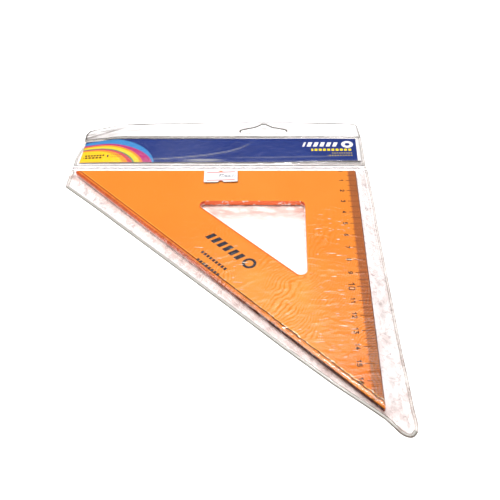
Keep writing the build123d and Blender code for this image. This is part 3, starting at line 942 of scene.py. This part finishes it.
def build_header():
    """The header: two films round the printed card, welded on four sides, and the hanging strip."""
    bottom = FOLD_Y + 0.8
    left_side = spaced(HEADER_SIDE, 0.5)
    right_side = spaced(((7.0, bottom), (6.7, 13.0), (6.4, 30.0), (6.0, SEAM_TOP)), 0.5)
    lower_side = spaced((left_side[-1], right_side[0]), 0.5)
    upper_side = spaced((right_side[-1], left_side[0]), 0.5)
    outline = spaced(np.vstack([left_side, lower_side, right_side, upper_side]), 1.2)[:-1]
    back = film("header_back_vinyl", outline, layer(HEADER_BACK), FLAT_GRID, BACK_FILM)
    dress_header(back, vinyl_material("header_back_vinyl"), "film", "header_back_film")
    front = film("header_front_vinyl", outline, header_front_height, 1.2)
    # painted shade lines: under the card, over it and under the upper seam
    painted_shade_lines = (
        (card_low[1] - 0.3, 0.3, 0.6), (card_high[1] + 0.4, 0.4, 0.4), (SEAM_TOP - 0.4, 0.2, 0.3),
    )
    clinging = vinyl_material("header_vinyl", crease_milk=0.2, straight=0.01, ripple=(-132, -84),
                              lines=painted_shade_lines)
    dress_header(front, clinging, "film", "header_front_film")
    card_outline = box_outline(card_low[0], card_low[1], card_high[0], card_high[1], 1.5)
    card = film("printed_card", card_outline, layer(HEADER_CARD), 2.0, 0.25)
    dress_header(card, card_material(), "card", "header_card")

    seam = ((0.0, 0.0), (0.12, 0.14), (0.3, 0.06), (0.5, 0.03), (0.7, 0.06), (0.88, 0.14),
            (1.0, 0.0))

    def seam_base(x, y):
        return header_lift(x, y) + HEADER_SEAM

    # the second colour of each seam is its painted shade at the sides
    knurled = weld_material("header_weld", surface(244, 242, 238), surface(150, 142, 128),
                            0.1, 0.4, 0.55)
    lower = weld_material("header_lower_weld", surface(232, 228, 226), surface(200, 194, 188),
                          0.06, 0.08, 0.08)
    sides = (
        ("header_left_seam", left_side, 1.8, knurled, "header_left_weld"),
        ("header_lower_seam", lower_side, 1.8, lower, "header_lower_weld"),
        ("header_right_seam", right_side, 1.8, knurled, "header_right_weld"),
        ("header_upper_seam", upper_side, 1.6, knurled, "header_upper_weld"),
    )
    for name, path, width, material, node in sides:
        dress_header(ribbon(name, path, width, seam, seam_base, 0.04), material, "weld", node)
    build_hanging_strip(upper_side)


def build_hanging_strip(upper_side):
    """The strip above the header's upper seam, with its slot and two slanting bands of painted
    shade.
    """
    slot = slot_outline()
    lip = slot[slot[:, 1] > slot[:, 1].min() + 2.0]
    lip = lip[np.argsort(lip[:, 0])]
    rim = curved(STRIP_TOP_EDGE, 1.0)
    outline = spaced(np.vstack([rim, [upper_side[-1]], upper_side[::-1]]), 0.7)[::-1][:-1]

    def strip_height(x, y):
        z, crease = layer(HEADER_STRIP, 0.03, 8)(x, y)
        by_slot = ridge(distance(x, y, lip), 1.25)
        by_rim = ridge(distance(x, y, rim), 0.9)
        bend_shade = ridge(y - 42 - (x + 173) * 0.29, 1.1) * ramp(-x, 140, 160)
        bend_shade += 0.7 * ridge(y - 45.5 - (x + 173) * 0.2, 0.7) * ramp(-x, 128, 150)
        uneven = 0.75 + 0.25 * noise(x, y, 6, 61)
        # painted grey shade at the slot's upper lip, along the top rim and in two slanting bends
        crease = crease + 2.2 * by_slot + (1.7 * by_rim + 1.1 * bend_shade) * uneven
        return z + 0.25 * by_slot, np.clip(crease, 0, 2)

    strip = film("hanging_strip", outline, strip_height, 0.6, 0.3, slot)
    vinyl = vinyl_material("strip_vinyl", crease_shade=0.55, rim_shade=0.4)
    dress_header(strip, vinyl, "film", "hang_strip")


def slot_outline():
    """The hanging slot, shaped like a coat hanger."""
    x, y = SLOT_MIDDLE
    right = [(x + dx, y + dy) for dx, dy in SLOT_HALF]
    left = [(x - dx, y + dy) for dx, dy in reversed(SLOT_HALF)]
    return spaced([*right, *left, right[0]], 0.7)[:-1]


def build_label():
    """The paper price label, stuck to the front film and following its surface."""
    centre = (label_low + label_high)[:2] / 2 + [0, 0.5]
    half_width, half_height = LABEL_WIDTH / 2, LABEL_HEIGHT / 2
    outline = box_outline(-half_width, -half_height, half_width, half_height, 0.5)
    for sign in (-1, 1):
        away = np.hypot(outline[:, 0], outline[:, 1] - sign * half_height)
        near = away < LABEL_NOTCH
        depth = np.sqrt(np.maximum(LABEL_NOTCH ** 2 - outline[near, 0] ** 2, 0))
        outline[near, 1] = sign * (half_height - depth)
    c, s = cos(radians(LABEL_TURN)), sin(radians(LABEL_TURN))
    turned = np.stack([centre[0] + outline[:, 0] * c - outline[:, 1] * s,
                       centre[1] + outline[:, 0] * s + outline[:, 1] * c], -1)

    def above_film(x, y):
        far = np.hypot(x - centre[0], y - centre[1]) / 12
        return PLATE_TOP + AIR + 0.55 + 0.25 * far ** 3 + 0.04 * noise(x, y, 6, 41), 0 * x

    label = film("paper_label", turned, above_film, 0.8, 0.09)
    dress(label, label_material(centre), "label_paper", "sleeve", "price_label",
          "price_label_lines")


def dress_plate():
    """Materials for the CAD nodes that stay in view."""
    dark = ink_material("scale_ink", surface(34, 18, 14))
    mark = ink_material("mark_ink", surface(26, 30, 50), 0.12)
    materials = {
        "square_plate": plate_material(), "scale_ticks_mm": dark, "scale_ticks_half_cm": dark,
        "scale_ticks_cm": dark, "scale_numerals": dark, "plate_mark_bars": mark,
        "plate_mark_ring": mark, "plate_mark_rows": mark,
    }
    for node, material in materials.items():
        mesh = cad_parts[node].data
        mesh.materials.clear()
        mesh.materials.append(material)


# --- surroundings ---

def build_camera():
    """The camera, looking down at the sleeve from its pointed end."""
    pitch, yaw, roll = CAMERA_TURN
    forward = Vector((sin(yaw) * cos(pitch), cos(yaw) * cos(pitch), -sin(pitch)))
    level = Vector((cos(yaw), -sin(yaw), 0))
    upright = level.cross(forward)
    right = cos(roll) * level + sin(roll) * upright
    up = cos(roll) * upright - sin(roll) * level
    data = bpy.data.cameras.new("camera")
    data.lens = CAMERA_LENS
    data.sensor_width = 36
    data.clip_start = 0.01
    camera = bpy.data.objects.new("camera", data)
    turned = Matrix((right, up, -forward)).transposed().to_4x4()
    camera.matrix_world = Matrix.Translation(Vector(CAMERA_PLACE) * MM) @ turned
    bpy.context.scene.collection.objects.link(camera)
    bpy.context.scene.camera = camera


def area_light(name, place, target, size, power):
    """A rectangular soft light that looks at target. Its places and size are in metres."""
    data = bpy.data.lights.new(name, "AREA")
    data.shape = "RECTANGLE"
    data.size, data.size_y = size
    data.energy = power
    light = bpy.data.objects.new(name, data)
    place, target = Vector(place), Vector(target)
    light.location = place
    light.rotation_euler = (target - place).to_track_quat("-Z", "Y").to_euler()
    bpy.context.scene.collection.objects.link(light)


def show_white(tree):
    """Past the floor's edge the camera sees plain white, not the dark room that the film sees."""
    path = tree.nodes.new("ShaderNodeLightPath")
    plain = tree.nodes.new("ShaderNodeBackground")
    plain.inputs["Strength"].default_value = EXPOSED
    choice = tree.nodes.new("ShaderNodeMixShader")
    tree.links.new(path.outputs["Is Camera Ray"], choice.inputs[0])
    tree.links.new(tree.nodes["Background"].outputs[0], choice.inputs[1])
    tree.links.new(plain.outputs[0], choice.inputs[2])
    tree.links.new(choice.outputs[0], tree.nodes["World Output"].inputs["Surface"])


def build_surroundings():
    """The floor, the sky of light over it, and two soft lights."""
    p = Paint("white_floor")
    base = p.mix(p.noise(300.0, 2.0), [0.9, 0.9, 0.9, 1], [0.91, 0.91, 0.91, 1])
    far, level = FLOOR_REACH, FLOOR_LEVEL
    square = [(-far, -far, level), (far, -far, level), (far, far, level), (-far, far, level)]
    floor = make_mesh("floor", square, [[0, 1, 2, 3]], smooth=False)
    floor.data.materials.append(p.finish(p.principled(base, 0.9, Specular_IOR_Level=0.0)))
    # a white tent overhead that falls off to a darker room near the horizon
    world = bpy.data.worlds.new("studio")
    world.use_nodes = True
    tree = world.node_tree
    direction = tree.nodes.new("ShaderNodeTexCoord")
    parts = tree.nodes.new("ShaderNodeSeparateXYZ")
    fade = tree.nodes.new("ShaderNodeMapRange")
    fade.interpolation_type = "SMOOTHSTEP"
    for socket, value in zip(fade.inputs[1:], (*TENT_FADE, *TENT_LIGHT)):
        socket.default_value = value
    tree.links.new(direction.outputs["Generated"], parts.inputs[0])
    tree.links.new(parts.outputs["Z"], fade.inputs[0])
    tree.links.new(fade.outputs[0], tree.nodes["Background"].inputs["Strength"])
    tree.nodes["Background"].inputs["Color"].default_value = (1, 1, 1, 1)
    bpy.context.scene.world = world
    bpy.context.scene.view_settings.view_transform = "Standard"
    bpy.context.scene.cycles.transparent_max_bounces = 32     # enough for every layer of film
    show_white(tree)
    area_light("soft_box", (-0.15, 0.42, 1.3), (-0.06, -0.06, 0), (0.4, 0.12), 12)
    area_light("fill", (-0.9, -0.2, 0.9), (-0.06, -0.06, 0), (0.6, 0.6), 5)


build_camera()
build_surroundings()
dress_plate()
build_sleeve()
build_fold()
build_header()
build_label()
